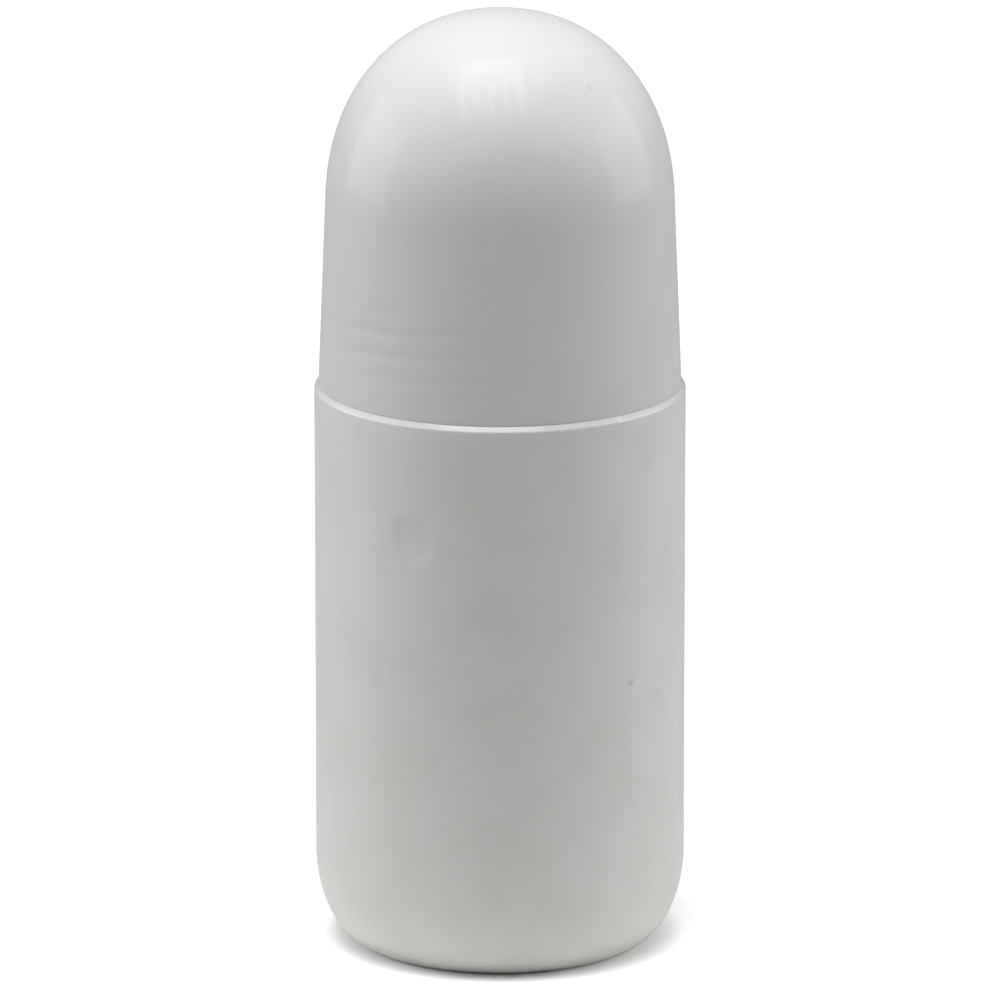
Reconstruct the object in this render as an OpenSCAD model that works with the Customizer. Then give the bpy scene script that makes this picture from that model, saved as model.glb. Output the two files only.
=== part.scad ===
// Roll-on bottle: blow moulded bottle, pressed-in ball housing, ball, domed screw cap and its liner.
// Millimetres, +Z up, origin at the centre of the standing ring.
// The radii follow from the ball outwards: ball, plug, neck, thread, cap, bottle.

/* [Ball] */
// Diameter of the rolling ball
ball_d = 28.6; // [24:0.1:36]
// Thickness of the hollow ball's shell
ball_shell_t = 1.8; // [1:0.1:4]
// Clearance between the ball and its cup
ball_play = 0.1; // [0.05:0.01:0.2]

/* [Ball housing] */
// Wall of the cup that holds the ball
cup_wall_t = 0.9; // [0.6:0.05:1.2]
// How much larger the plug's radius is than the ball's
plug_over_ball = 0.47; // [0.3:0.01:0.65]
// Wall of the plug in the neck
plug_wall_t = 0.9; // [0.6:0.05:1.4]
// Clearance of the plug in the neck's bore
plug_gap = 0.08; // [0.04:0.01:0.2]
// Bevel at the plug's lower end
plug_bevel = 0.4; // [0.2:0.05:0.5]
// Thickness of the flange that lies on the neck
flange_t = 1.2; // [0.8:0.1:2]
// How much wider the collar is than the cup
collar_extra_t = 0.3; // [0.1:0.05:0.4]
// Height of the retaining lip above the ball's centre
lip_rise = 3.8; // [2.8:0.1:4.6]
// Rounding of the lip's outer edge
lip_round = 1.1; // [0.5:0.1:1.3]
// Radius of the feed throat under the ball
throat_r = 8; // [5:0.1:9.5]
// Length of the throat below the ball's seat
throat_len = 1.4; // [1:0.1:3]

/* [Housing details] */
// Number of sealing beads on the plug
bead_count = 2; // [1:1:3]
// Radius of a bead's round section
bead_r = 0.45; // [0.3:0.05:0.6]
// Step from one bead to the next, and from the flange to the first
bead_pitch = 2.1; // [1.6:0.1:2.4]
// How far a bead is squeezed by the neck's bore
bead_squeeze = 0.08; // [0.02:0.01:0.15]
// Number of feed grooves in the cup
groove_count = 8; // [4:1:12]
// Angle that one feed groove spans
groove_angle = 14; // [6:1:20]
// Depth of a feed groove
groove_depth = 0.4; // [0.2:0.05:0.5]
// Height of the sealing band left between the throat and the grooves
seal_band_h = 2.4; // [1.5:0.1:4]
// Height left between the grooves and the ball's centre
groove_stop = 1.2; // [0.5:0.1:3]
// Number of webs between the cup and the plug's wall
web_count = 8; // [4:1:12]
// Thickness of a web
web_t = 0.8; // [0.5:0.1:1.5]
// Height of the webs above the plug's lower end
web_lift = 0.9; // [0.5:0.1:2]

/* [Bottle] */
// Height of the shoulder ledge above the ground
body_h = 58.8; // [40:0.1:90]
// Width of the ledge that shows outside the cap's rim
ledge_w = 0.45; // [0.2:0.05:6]
// Rounding of the shoulder's outer edge
shoulder_round = 0.5; // [0.4:0.1:1.2]
// Wall of the bottle's body
body_wall_t = 1.2; // [0.8:0.1:1.8]
// Thickness of the shoulder
shoulder_t = 1.5; // [1:0.1:2.5]
// Inside rounding under the shoulder
shoulder_inside_round = 1.2; // [0.5:0.1:1.4]
// Height at which the rounded base meets the straight wall
foot_rise = 9; // [5:0.1:14]
// How far the standing ring's edge lies inside the straight wall
foot_inset = 4.7; // [3:0.1:7]
// Fullness of the base's rounding, 2 for an ellipse
base_fullness = 1.85; // [1.6:0.05:2.6]
// Width of the flat standing ring
foot_ring_w = 2.9; // [2.2:0.1:4.5]
// Depth of the hollow inside the standing ring
push_up = 1.8; // [0.8:0.1:4]
// Thickness of the base
base_t = 1.6; // [1.2:0.1:2.5]
// Length of the pinched seam across the base
pinch_len = 17; // [8:0.5:20]
// Width of the pinched seam
pinch_w = 0.8; // [0.4:0.1:1.5]
// Height of the pinched seam
pinch_h = 0.35; // [0.2:0.05:0.6]

/* [Neck] */
// Height of the neck above the shoulder
neck_h = 14; // [11:0.1:18]
// Wall of the neck
neck_wall_t = 1.2; // [0.9:0.1:1.8]
// Depth of the thread's ridges on the neck and in the cap
thread_depth = 0.75; // [0.5:0.05:1]
// Clearance between one thread's crest and the other's root
thread_gap = 0.15; // [0.1:0.05:0.3]
// Hollow rounding where the neck leaves the shoulder
neck_fillet = 0.6; // [0.3:0.1:0.7]
// Rounding of the bore's lower edge, where the shoulder begins
neck_inside_round = 0.8; // [0.3:0.1:1]
// Bevel at the neck's top edge
neck_bevel = 0.3; // [0.1:0.05:0.5]

/* [Cap] */
// Wall of the cap at its rim
skirt_wall_t = 1.6; // [1.4:0.1:3]
// Wall of the cap above the thread and in the dome
dome_wall_t = 1.3; // [0.9:0.1:1.5]
// Thickness of the dome's crown
crown_t = 1.4; // [1:0.1:2.5]
// Slope of the cap's side, in degrees
cap_draft = 2.25; // [0.5:0.25:3]
// Gap between the cap's rim and the shoulder
rim_gap = 0.05; // [0.05:0.05:0.3]
// Rounding of the rim's outer edge
rim_round = 0.1; // [0.1:0.05:0.6]
// Bevel inside the rim
rim_bevel = 0.5; // [0.2:0.1:0.8]
// Height above the ball's centre at which the side turns into the dome
dome_rise = 1.5; // [0:0.1:3]
// Fullness of the dome, 2 for an ellipse
dome_fullness = 2.2; // [2:0.05:2.6]

/* [Cap liner] */
// Diameter of the soft disc under the crown
liner_d = 14; // [8:0.5:16]
// Thickness of the disc
liner_t = 2; // [1:0.1:3]
// Gap between the ball's top and the disc
liner_gap = 0.2; // [0.1:0.05:0.4]
// Clearance round and behind the disc
liner_play = 0.1; // [0.05:0.05:0.2]
// Wall of the ring that holds the disc
ring_t = 1; // [0.7:0.1:1.5]
// How far the ring's bead reaches in under the disc
ring_bead = 0.3; // [0.2:0.05:0.5]
// Height of the ring's bead
ring_bead_h = 0.5; // [0.3:0.1:0.8]
// Height of the ribs behind the disc
rib_h = 2.6; // [1.5:0.1:5]
// Thickness of the ribs
rib_t = 1; // [0.6:0.1:1.5]

/* [Hidden] */
$fn = 128;
// How far a cut runs past the surface that it opens
over = 0.5;
// Straight steps in a dome, in a base corner and in a small rounding
dome_steps = 30;
corner_steps = 14;
round_steps = 6;

// Radii, from the ball outwards
ball_r = ball_d / 2;
seat_r = ball_r + ball_play;
cup_r = seat_r + cup_wall_t;
collar_r = cup_r + collar_extra_t;
plug_r = ball_r + plug_over_ball;
neck_bore_r = plug_r + plug_gap;
neck_r = neck_bore_r + neck_wall_t;
cap_bore_r = neck_r + thread_depth + thread_gap;
rim_r = cap_bore_r + skirt_wall_t;
body_r = rim_r + ledge_w;
body_inside_r = body_r - body_wall_t;
foot_r = body_r - foot_inset;
foot_inside_r = foot_r - foot_ring_w;
liner_r = liner_d / 2;
ring_inside_r = liner_r + liner_play;

// Heights, from the ground upwards
neck_z = body_h + neck_h;
shoulder_inside_z = body_h - shoulder_t;
// The ball sits as deep as the neck lets its cup go
ball_z = neck_z + sqrt(cup_r * cup_r - plug_r * plug_r);
lip_z = ball_z + lip_rise;
seat_end_z = ball_z - sqrt(seat_r * seat_r - throat_r * throat_r);
plug_end_z = seat_end_z - throat_len;
liner_z = ball_z + ball_r + liner_gap;
rib_z = liner_z + liner_t + liner_play;
ring_z = liner_z - liner_play - ring_bead_h;
crown_inside_z = rib_z + rib_h;
top_z = crown_inside_z + crown_t;
rim_z = body_h + rim_gap;
dome_z = ball_z + dome_rise;

// Points of an arc round a centre, from one angle to another
function arc(centre, r, from, to) =
    [for (i = [0:round_steps]) let (a = from + (to - from) * i / round_steps)
        centre + r * [cos(a), sin(a)]];

// The cap's sloping side has this radius at a height, less an inset
function side_r(z, inset) = rim_r - inset - (z - rim_z) * tan(cap_draft);

// A dome on the sloping side: each point lies on a quarter of a fuller ellipse
function dome(inset, peak_z) =
    [for (i = [0:dome_steps]) let (
        a = 90 * i / dome_steps,
        z = dome_z + (peak_z - dome_z) * pow(sin(a), 2 / dome_fullness))
        [side_r(z, inset) * pow(cos(a), 2 / dome_fullness), z]];

// A base corner from a flat floor up to a straight wall
function base_corner(wall_r, floor_z) =
    [for (i = [0:corner_steps]) let (
        a = 90 * i / corner_steps,
        out = pow(sin(a), 2 / base_fullness),
        up = 1 - pow(cos(a), 2 / base_fullness))
        [wall_r - foot_inset * (1 - out), floor_z + (foot_rise - floor_z) * up]];

// The hollow in the base, raised by a thickness
function hollow(lift) =
    [for (i = [0:round_steps]) let (r = foot_inside_r * i / round_steps)
        [r, lift + push_up * (1 - pow(r / foot_inside_r, 2))]];

function reversed(points) = [for (i = [len(points) - 1:-1:0]) points[i]];

module bottle_section() {
    polygon(concat(
        hollow(0),
        base_corner(body_r, 0),
        arc([body_r - shoulder_round, body_h - shoulder_round], shoulder_round, 0, 90),
        arc([neck_r + neck_fillet, body_h + neck_fillet], neck_fillet, 270, 180),
        [[neck_r, neck_z - neck_bevel], [neck_r - neck_bevel, neck_z]],
        [[neck_bore_r, neck_z]],
        arc([neck_bore_r + neck_inside_round, shoulder_inside_z + neck_inside_round],
            neck_inside_round, 180, 270),
        arc([body_inside_r - shoulder_inside_round, shoulder_inside_z - shoulder_inside_round],
            shoulder_inside_round, 90, 0),
        reversed(base_corner(body_inside_r, base_t)),
        reversed(hollow(base_t))));
}

// The seam that the mould pinches shut, which stands proud of the hollow's face
module pinched_seam() {
    intersection() {
        rotate_extrude()
            polygon(concat(hollow(-pinch_h), reversed(hollow(base_t / 2))));
        translate([-pinch_len / 2, -pinch_w / 2, -pinch_h])
            cube([pinch_len, pinch_w, push_up + base_t]);
    }
}

module bottle() {
    color("whitesmoke") {
        rotate_extrude() bottle_section();
        pinched_seam();
    }
}

// Half of the housing's section, still without the ball's space
module housing_section() {
    // Cup below the neck's top, out to the middle of the plug's wall
    intersection() {
        translate([0, ball_z]) circle(cup_r);
        translate([0, plug_end_z])
            square([plug_r - plug_wall_t / 2, neck_z - plug_end_z]);
    }
    // Plug wall with its lower bevel
    polygon([
        [plug_r - plug_wall_t, plug_end_z],
        [plug_r - plug_bevel, plug_end_z],
        [plug_r, plug_end_z + plug_bevel],
        [plug_r, neck_z],
        [plug_r - plug_wall_t, neck_z]]);
    // Sealing beads
    for (i = [1:bead_count])
        translate([neck_bore_r + bead_squeeze - bead_r, neck_z - i * bead_pitch])
            circle(bead_r);
    // Throat under the seat
    translate([throat_r, plug_end_z]) square([cup_wall_t, seat_end_z - plug_end_z]);
    // Flange on the neck
    translate([0, neck_z]) square([neck_r, flange_t]);
    // Collar up to the rounded lip
    polygon(concat(
        [[0, lip_z], [0, neck_z], [collar_r, neck_z]],
        arc([collar_r - lip_round, lip_z - lip_round], lip_round, 0, 90)));
}

module feed_groove() {
    rotate([0, 0, -groove_angle / 2])
        rotate_extrude(angle = groove_angle)
            intersection() {
                translate([0, ball_z]) circle(seat_r + groove_depth);
                translate([throat_r, seat_end_z + seal_band_h])
                    square([seat_r, ball_z - groove_stop - seat_end_z - seal_band_h]);
            }
}

module ball_housing() {
    web_z = plug_end_z + web_lift;
    web_len = plug_r - plug_wall_t / 2 - throat_r;
    web_h = neck_z - plug_wall_t / 2 - web_z;
    color("white")
        difference() {
            union() {
                rotate_extrude() housing_section();
                for (i = [0:web_count - 1])
                    rotate([0, 0, 360 * i / web_count])
                        translate([throat_r, -web_t / 2, web_z])
                            cube([web_len, web_t, web_h]);
            }
            translate([0, 0, ball_z]) sphere(seat_r);
            translate([0, 0, plug_end_z - over])
                cylinder(r = throat_r, h = seat_end_z - plug_end_z + 2 * over);
            for (i = [0:groove_count - 1])
                rotate([0, 0, 360 * (i + 0.5) / groove_count])
                    feed_groove();
        }
}

module ball() {
    color("ivory")
        translate([0, 0, ball_z])
            difference() {
                sphere(ball_r);
                sphere(ball_r - ball_shell_t);
            }
}

module cap_section() {
    polygon(concat(
        arc([rim_r - rim_round, rim_z + rim_round], rim_round, 270, 360),
        dome(0, top_z),
        reversed(dome(dome_wall_t, crown_inside_z)),
        [[side_r(neck_z + over, dome_wall_t), neck_z + over]],
        [[cap_bore_r, neck_z], [cap_bore_r, rim_z + rim_bevel], [cap_bore_r + rim_bevel, rim_z]]));
}

// Ring and crossed ribs that hold the liner under the crown
module liner_holder() {
    rotate_extrude()
        translate([ring_inside_r, ring_z])
            square([ring_t, top_z - ring_z]);
    rotate_extrude()
        translate([ring_inside_r - liner_play - ring_bead, ring_z])
            square([ring_bead + liner_play + ring_t / 2, ring_bead_h]);
    for (turn = [0, 90])
        rotate([0, 0, turn])
            translate([-ring_inside_r - ring_t / 2, -rib_t / 2, rib_z])
                cube([2 * ring_inside_r + ring_t, rib_t, top_z - rib_z]);
}

module cap() {
    color("white") {
        rotate_extrude() cap_section();
        // The holder ends inside the dome's wall
        intersection() {
            liner_holder();
            rotate_extrude()
                polygon(concat([[0, dome_z]], dome(dome_wall_t / 2, top_z - crown_t / 2)));
        }
    }
}

module cap_liner() {
    color("lightgray")
        translate([0, 0, liner_z])
            cylinder(r = liner_r, h = liner_t);
}

bottle();
ball_housing();
ball();
cap();
cap_liner();
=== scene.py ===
# Looks of a plain white roll-on bottle: a blow moulded bottle, a pressed-in ball housing,
# its ball, a domed screw cap and the cap's foam liner.
# Shapes are worked out in millimetres and become metres as they enter their meshes.
import math

import bpy
import numpy as np
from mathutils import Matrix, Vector


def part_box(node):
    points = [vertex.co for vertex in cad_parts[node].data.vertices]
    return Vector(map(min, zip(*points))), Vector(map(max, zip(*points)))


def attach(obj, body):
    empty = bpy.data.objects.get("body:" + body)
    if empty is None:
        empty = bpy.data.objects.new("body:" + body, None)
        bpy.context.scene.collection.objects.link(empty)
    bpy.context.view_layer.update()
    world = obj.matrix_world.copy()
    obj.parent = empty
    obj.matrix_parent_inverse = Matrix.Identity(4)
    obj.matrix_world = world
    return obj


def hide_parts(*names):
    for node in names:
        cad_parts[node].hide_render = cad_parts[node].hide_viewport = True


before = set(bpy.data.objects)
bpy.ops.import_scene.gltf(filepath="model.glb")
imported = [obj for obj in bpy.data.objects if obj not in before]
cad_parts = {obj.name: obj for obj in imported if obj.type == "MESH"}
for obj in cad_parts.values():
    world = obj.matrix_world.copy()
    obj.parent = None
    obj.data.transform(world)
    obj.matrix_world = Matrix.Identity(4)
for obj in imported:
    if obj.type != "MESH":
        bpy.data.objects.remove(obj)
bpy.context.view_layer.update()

metre = 0.001                   # one millimetre in metres


def boxOf(node):                # a CAD node's lowest and highest corner, in millimetres
    low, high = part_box(node)
    return np.array(low) / metre, np.array(high) / metre


bottleHigh = boxOf("bottle")[1]
housingLow, housingHigh = boxOf("ball_housing")
ballLow, ballHigh = boxOf("ball")
capLow, capHigh = boxOf("cap")
linerLow, linerHigh = boxOf("cap_liner")

bodyRadius = bottleHigh[0]
neckTop = bottleHigh[2]
neckRadius = housingHigh[0]     # the housing's flange is as wide as the neck
ballRadius = ballHigh[0]
ballHeight = (ballLow[2] + ballHigh[2]) / 2
rimRadius = capHigh[0]
rimHeight = capLow[2]
capTop = capHigh[2]


# Curves and grids

def smooth(value, start, end):  # eases from 0 at start to 1 at end
    share = np.clip((value - start) / (end - start), 0, 1)
    return share * share * (3 - 2 * share)


def window(value, low, high, ease):     # 1 between low and high, easing to 0 inside both ends
    return smooth(value, low, low + ease) * smooth(-value, -high, ease - high)


def bump(distance, width):      # a rounded bump, 1 in its middle and 0 past its half width
    return np.clip(1 - (distance / width) ** 2, 0, 1) ** 2


def line(start, end, steps):    # a straight stretch whose points crowd towards both ends
    share = (1 - np.cos(np.linspace(0, np.pi, steps + 1))) / 2
    return np.outer(1 - share, start) + np.outer(share, end)


def evenLine(start, end, step):         # a straight stretch with points a step apart
    count = int(np.ceil(np.hypot(end[0] - start[0], end[1] - start[1]) / step))
    share = np.linspace(0, 1, count + 1)
    return np.outer(1 - share, start) + np.outer(share, end)


def arc(centre, radius, start, end, steps):     # centre plus radius times cosine and sine of the angle
    angle = np.radians(np.linspace(start, end, steps + 1))
    return np.column_stack([centre[0] + radius * np.cos(angle), centre[1] + radius * np.sin(angle)])


def eased(corners, reach, steps=4):     # the corners between the ends, each cut by a curve on its two sides
    corners = np.array(corners, float)
    share = np.linspace(0, 1, steps + 1)[:, None]
    cuts = []
    for before, corner, after in zip(corners, corners[1:], corners[2:]):
        start = corner + reach * (before - corner) / np.linalg.norm(before - corner)
        end = corner + reach * (after - corner) / np.linalg.norm(after - corner)
        cuts.append((1 - share) ** 2 * start + 2 * share * (1 - share) * corner + share ** 2 * end)
    return np.vstack(cuts)


def profile(stretches):         # joins named stretches; says which rows each one fills
    rows, used, points = {}, 0, []
    for name, stretch in stretches.items():
        if points and np.allclose(points[-1][-1], stretch[0], atol=1e-6):
            stretch = stretch[1:]
        points.append(stretch)
        rows[name] = slice(used, used + len(stretch))
        used += len(stretch)
    return np.vstack(points), rows


def columnAngles(count, closer=()):     # even columns, with closer ones to both sides of some angles
    angles = np.arange(count) * 360 / count
    for middle, offsets in closer:
        away = np.abs((angles - middle + 180) % 360 - 180)
        angles = angles[away > offsets[-1]]
        angles = np.concatenate([angles, middle - offsets, [middle], middle + offsets])
    return np.radians(np.unique(np.round(angles % 360, 4)))


def turn(radius, height, angles):       # x is r cos(a), y is r sin(a), z is the height
    return np.stack([radius * np.cos(angles), radius * np.sin(angles), height], axis=-1)


def spread(points, angles):     # a profile's radii and heights, repeated in every column
    return [np.repeat(points[:, side, None], len(angles), axis=1) for side in (0, 1)]


# A closed surface over rows and columns of points. Columns always close on themselves. The rows
# close too on a ring, and otherwise the first and the last row shrink to one point each.
def gridFaces(points, ring=False):
    rows, columns = points.shape[:2]
    ids = np.arange(rows * columns).reshape(rows, columns)
    if ring:
        flat = points.reshape(-1, 3)
        ids = np.vstack([ids, ids[:1]])
    else:
        flat = np.concatenate([points[:1, 0], points[1:-1].reshape(-1, 3), points[-1:, 0]])
        ids = ids - columns + 1
        ids[0] = 0
        ids[-1] = len(flat) - 1
    ahead = np.roll(ids, -1, axis=1)
    faces = np.stack([ids[:-1], ahead[:-1], ahead[1:], ids[1:]], axis=-1).reshape(-1, 4)
    keep = np.ones(faces.shape, bool)
    keep[:, 1] = faces[:, 1] != faces[:, 0]
    keep[:, 2] = faces[:, 2] != faces[:, 3]
    return flat, faces[keep], keep.sum(axis=1)


def makePiece(name, grids, sharpAbove=38):      # one mesh out of several closed grids
    points, loops, sizes, used = [], [], [], 0
    for flat, corners, counts in grids:
        points.append(flat)
        loops.append(corners + used)
        sizes.append(counts)
        used += len(flat)
    points = np.vstack(points) * metre
    loops = np.concatenate(loops)
    sizes = np.concatenate(sizes)
    mesh = bpy.data.meshes.new(name)
    mesh.vertices.add(len(points))
    mesh.vertices.foreach_set("co", points.ravel())
    mesh.loops.add(len(loops))
    mesh.loops.foreach_set("vertex_index", loops)
    mesh.polygons.add(len(sizes))
    mesh.polygons.foreach_set("loop_start", np.cumsum(sizes) - sizes)
    mesh.update(calc_edges=True)
    mesh.polygons.foreach_set("use_smooth", np.ones(len(sizes), bool))
    mesh.set_sharp_from_angle(angle=math.radians(sharpAbove))
    piece = bpy.data.objects.new(name, mesh)
    bpy.context.scene.collection.objects.link(piece)
    print(name, len(points), "points,", int((sizes - 2).sum()), "triangles")
    return piece


# A flat bar: an outline in radius and height, with a thickness across it, turned to an angle
def barGrid(outline, thickness, angle):
    outline = np.array(outline, float)
    middle = outline.mean(axis=0)
    loops = [np.tile(middle, (len(outline), 1)), outline, outline, np.tile(middle, (len(outline), 1))]
    across = np.array([-1, -1, 1, 1])[:, None] * thickness / 2 * np.ones(len(outline))
    radius = np.stack([loop[:, 0] for loop in loops])
    height = np.stack([loop[:, 1] for loop in loops])
    turned = math.radians(angle)
    x = radius * math.cos(turned) - across * math.sin(turned)
    y = radius * math.sin(turned) + across * math.cos(turned)
    return gridFaces(np.stack([x, y, height], axis=-1))


# Screw thread

thread = {
    "starts": 3,
    "pitch": 2.4,               # from one ridge to the next; the lead is starts times as much
    "depth": 0.75,
    "footWidth": 1.45,
    "crestWidth": 0.5,
    "base": 61.6,               # height of a neck ridge's middle at angle 0
    "neckFrom": 61.6, "neckTo": 69.9,
    "capFrom": 60.7, "capTo": 66.3,
    "capPhase": 0.5,            # the cap's ridges run midway between the neck's, in pitches
    "fade": 0.55,               # height over which a ridge's end sinks into the wall
    "margin": 0.8,              # finely cut wall past the ridges
    "rowStep": 0.085,
}


def ridgeCount(height, angles, phase):  # in pitches above the first ridge, which rises one lead a turn
    return (height - thread["base"]) / thread["pitch"] - thread["starts"] * angles / (2 * np.pi) - phase


# How far the ridges stand out: their depth, eased down both flanks by the distance to the nearest
# ridge's middle, and faded to nothing where a ridge ends
def threadRidge(height, angles, low, high, phase):
    place = ridgeCount(height, angles, phase)
    away = np.abs(place - np.round(place)) * thread["pitch"]
    middle = height - (place - np.round(place)) * thread["pitch"]
    flank = 1 - smooth(away, thread["crestWidth"] / 2, thread["footWidth"] / 2)
    return thread["depth"] * flank * window(middle, low, high, thread["fade"])


# Bottle

bottleLook = {
    "columns": 122,
    "neckHeight": 14, "neckWall": 1.2, "neckBevel": 0.3, "neckFillet": 0.6, "neckInsideRound": 0.8,
    "bodyWall": 1.2,
    "shoulderThickness": 1.5, "shoulderWidth": 0.47, "shoulderDrop": 0.52, "shoulderEdge": 0.1,
    "shoulderSlope": 0.045,      # how much the ledge rises from the neck to its outer edge
    "shoulderInsideRound": 1.2,
    "footRise": 9, "footInset": 4.7, "footRingWidth": 2.9, "fullness": 1.85,
    "footEase": 0.35, "footLift": 0.03,         # how the standing ring's edges leave the ground
    "hollowDepth": 1.8, "baseThickness": 1.6,
    "pinchLength": 17, "pinchReach": 0.5, "pinchFade": 0.8, "pinchHeight": 0.35,
    "seamWidth": 0.12, "seamHeight": 0.025, "seamFade": 0.6,
    "waveDepth": 0.03, "waveFade": 6, "waveStop": 1,
    "waves": ((3, 0.11, 0), (0, 0.17, 1.3), (5, -0.07, 2)),     # turns round, climb and start of each
    "lastWave": 0.6,            # how strong the third is
    "wallStep": 0.75,
    "besideSeam": np.geomspace(0.08, 4.5, 17),  # closer columns, in degrees from the seam
}
dent = {
    "angle": 241.8, "height": 46.4,     # where its middle lies on the wall
    "width": 2.3, "length": 3.1,        # half its size across and along
    "tilt": 45,                 # its upper end leans to the left
    "depth": 0.17,
    "flat": 0.5,                # share of its reach that is its floor
    "narrower": 0.2, "deeper": 0.15,    # its upper end, and its lower end the other way
    "rowsFrom": 42, "rowsTo": 51, "rowStep": 0.2,
    "beside": np.linspace(0.8, 9.6, 12),
}
crumb = {                       # of flash, on the shoulder's edge
    "angle": 309.5, "height": 58.5, "width": 0.42, "rise": 0.09,
    "beside": np.geomspace(0.2, 3, 12),
}


def baseCorner(wallRadius, floorHeight):        # a quarter of a fuller ellipse, from floor to wall
    angle = np.linspace(0, np.pi / 2, 29)
    power = 2 / bottleLook["fullness"]
    out = np.sin(angle) ** power
    up = 1 - np.clip(np.cos(angle), 0, 1) ** power
    return np.column_stack([
        wallRadius - bottleLook["footInset"] * (1 - out),
        floorHeight + (bottleLook["footRise"] - floorHeight) * up])


# The bottle's section, from the axis under the base out and up the wall, in over the ledge, up and
# over the neck, and back down its inside to the axis
def bottleProfile():
    b = bottleLook
    ledge = neckTop - b["neckHeight"]
    shoulder = ledge + b["shoulderSlope"]
    underShoulder = ledge - b["shoulderThickness"]
    inside = bodyRadius - b["bodyWall"]
    bore = neckRadius - b["neckWall"]
    foot = bodyRadius - b["footInset"]
    hollowEdge = foot - b["footRingWidth"]
    across = np.linspace(0, hollowEdge, 34)
    arch = b["hollowDepth"] * (1 - (across / hollowEdge) ** 2)
    outer = bodyRadius - b["shoulderWidth"]
    inner = inside - b["shoulderInsideRound"]
    edge = shoulder - b["shoulderDrop"]
    leg = 1                     # any length along the wall, and one millimetre along the ledge
    facet = eased([(bodyRadius, edge - leg), (bodyRadius, edge),
                   (outer, shoulder), (outer - leg, shoulder - b["shoulderSlope"])], b["shoulderEdge"])
    half = len(facet) // 2      # its straight middle gets more rows, for the crumb
    facet = np.vstack([facet[:half], line(facet[half - 1], facet[half], 5)[1:-1], facet[half:]])
    neckRoot = neckRadius + b["neckFillet"]
    boreEnd = bore + b["neckInsideRound"]
    threadLow, threadHigh = thread["neckFrom"] - thread["margin"], thread["neckTo"] + thread["margin"]
    return profile({
        "hollow": np.column_stack([across, arch]),
        "standing": line((hollowEdge, 0), (foot, 0), 8),
        "corner": baseCorner(bodyRadius, 0),
        "wallLow": evenLine((bodyRadius, b["footRise"]), (bodyRadius, dent["rowsFrom"]), b["wallStep"]),
        "wallDent": evenLine((bodyRadius, dent["rowsFrom"]), (bodyRadius, dent["rowsTo"]), dent["rowStep"]),
        "wallHigh": line((bodyRadius, dent["rowsTo"]), facet[0], 12),
        "shoulder": facet,
        "ledge": line(facet[-1], (neckRoot, ledge), 5),
        "neckFillet": arc((neckRoot, ledge + b["neckFillet"]), b["neckFillet"], 270, 180, 6),
        "neckFoot": line((neckRadius, ledge + b["neckFillet"]), (neckRadius, threadLow), 5),
        "neckThread": evenLine((neckRadius, threadLow), (neckRadius, threadHigh), thread["rowStep"]),
        "neckHead": line((neckRadius, threadHigh), (neckRadius, neckTop - b["neckBevel"]), 6),
        "neckBevel": arc((neckRadius - b["neckBevel"], neckTop - b["neckBevel"]), b["neckBevel"], 0, 90, 4),
        "neckTop": line((neckRadius - b["neckBevel"], neckTop), (bore, neckTop), 3),
        "bore": line((bore, neckTop), (bore, underShoulder + b["neckInsideRound"]), 8),
        "boreEnd": arc((boreEnd, underShoulder + b["neckInsideRound"]), b["neckInsideRound"], 180, 270, 6),
        "ceiling": line((boreEnd, underShoulder), (inner, underShoulder), 3),
        "ceilingRound": arc((inner, underShoulder - b["shoulderInsideRound"]), b["shoulderInsideRound"],
                            90, 0, 6),
        "insideWall": line((inside, underShoulder - b["shoulderInsideRound"]), (inside, b["footRise"]), 18),
        "insideCorner": baseCorner(inside, b["baseThickness"])[::-1],
        "insideRing": line((foot - b["bodyWall"], b["baseThickness"]), (hollowEdge, b["baseThickness"]), 4),
        "insideHollow": np.column_stack([across, b["baseThickness"] + arch])[::-1],
    })


def alongWall(angles, middle):  # distance round the bottle's wall from an angle in degrees
    return bodyRadius * ((angles - math.radians(middle) + np.pi) % (2 * np.pi) - np.pi)


# The dent's depth by the distance from its middle, told in half widths and half lengths that are
# turned by its tilt; it is flat within, and deeper and steeper at its upper left
def dentDepth(height, angles):
    up = height - dent["height"]
    across = alongWall(angles, dent["angle"])
    tilt = math.radians(dent["tilt"])
    short = across * math.cos(tilt) + up * math.sin(tilt)
    long = up * math.cos(tilt) - across * math.sin(tilt)
    end = np.clip(long / dent["length"], -1, 1)         # 1 at its upper end and -1 at its lower end
    width = dent["width"] * (1 - dent["narrower"] * end)
    reach = np.hypot(short / width, long / dent["length"])
    return dent["depth"] * (1 - smooth(reach, dent["flat"], 1)) * (1 + dent["deeper"] * end)


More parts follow.
